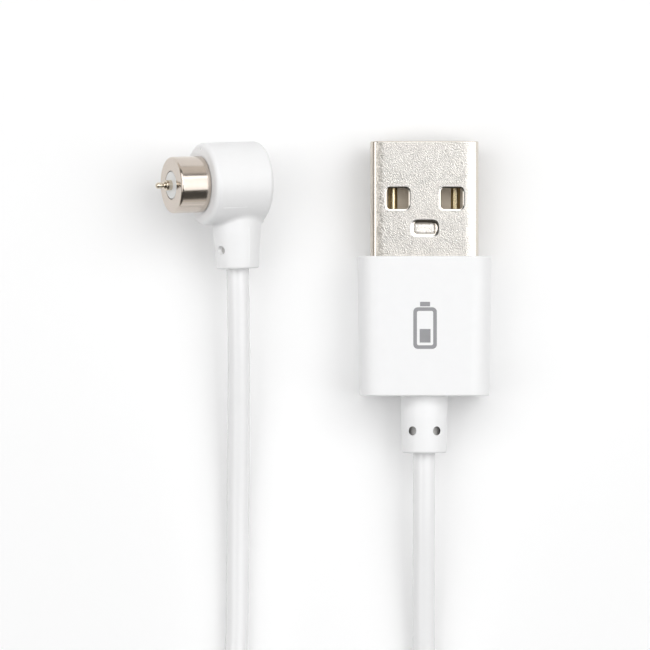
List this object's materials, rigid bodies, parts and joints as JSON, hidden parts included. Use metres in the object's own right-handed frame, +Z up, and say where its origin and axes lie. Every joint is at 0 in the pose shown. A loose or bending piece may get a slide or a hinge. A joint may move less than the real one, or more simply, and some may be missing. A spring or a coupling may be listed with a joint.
{
  "type": "magnetic usb charging cable",
  "caption": "Thin round charging cable with a USB-A plug at one end and an angled magnetic head with a spring contact pin at the other, its spare length coiled and tied.",
  "frame": {"origin": "on the floor, below the middle of the box around the plug and the head", "axes": "+Z up, +Y the way the plug points, +X from the head to the plug"},
  "size_m": [0.0402, 0.1141, 0.0112],
  "materials": {
    "plated_shell": "nickel-plated steel sheet with a fine matt grain",
    "carrier_plastic": "matt moulded plastic",
    "gold_plate": "thin gold plate",
    "white_housing": "fine matt moulded plastic",
    "inner_plastic": "plain moulded plastic",
    "red_wire": "smooth wire insulation",
    "black_wire": "smooth wire insulation",
    "plated_magnet": "polished nickel plate",
    "terminal_brass": "stamped brass",
    "insulator_plastic": "plain moulded plastic",
    "spring_steel": "drawn wire",
    "white_cord": "soft smooth cord jacket",
    "tie_strap": "soft woven strap"
  },
  "bodies": {
    "cable": {"usb_shell": "plated_shell", "contact_carrier": "carrier_plastic", "power_contact": "gold_plate", "data_minus_contact": "gold_plate", "data_plus_contact": "gold_plate", "ground_contact": "gold_plate", "plug_housing": "white_housing", "plug_inner_mould": "inner_plastic", "plug_strain_relief": "white_housing", "plug_red_wire": "red_wire", "plug_black_wire": "black_wire", "head_housing": "white_housing", "head_inner_mould": "inner_plastic", "ring_magnet": "plated_magnet", "ground_terminal": "terminal_brass", "pin_insulator": "insulator_plastic", "pin_sleeve": "gold_plate", "pin_spring": "spring_steel", "head_red_wire": "red_wire", "head_black_wire": "black_wire", "cord_head_run": "white_cord", "cord_plug_run": "white_cord", "cord_coil": "white_cord", "coil_tie": "tie_strap"},
    "pin": {"pin_plunger": "gold_plate"}
  },
  "joints": [
    {"name": "pin_slide", "type": "slide", "parent": "cable", "child": "pin", "axis": [0.9054, 0.0458, -0.422], "range_m": [0, 0.001], "stiffness_N_per_m": 600, "deforming": ["pin_spring"]}
  ]
}
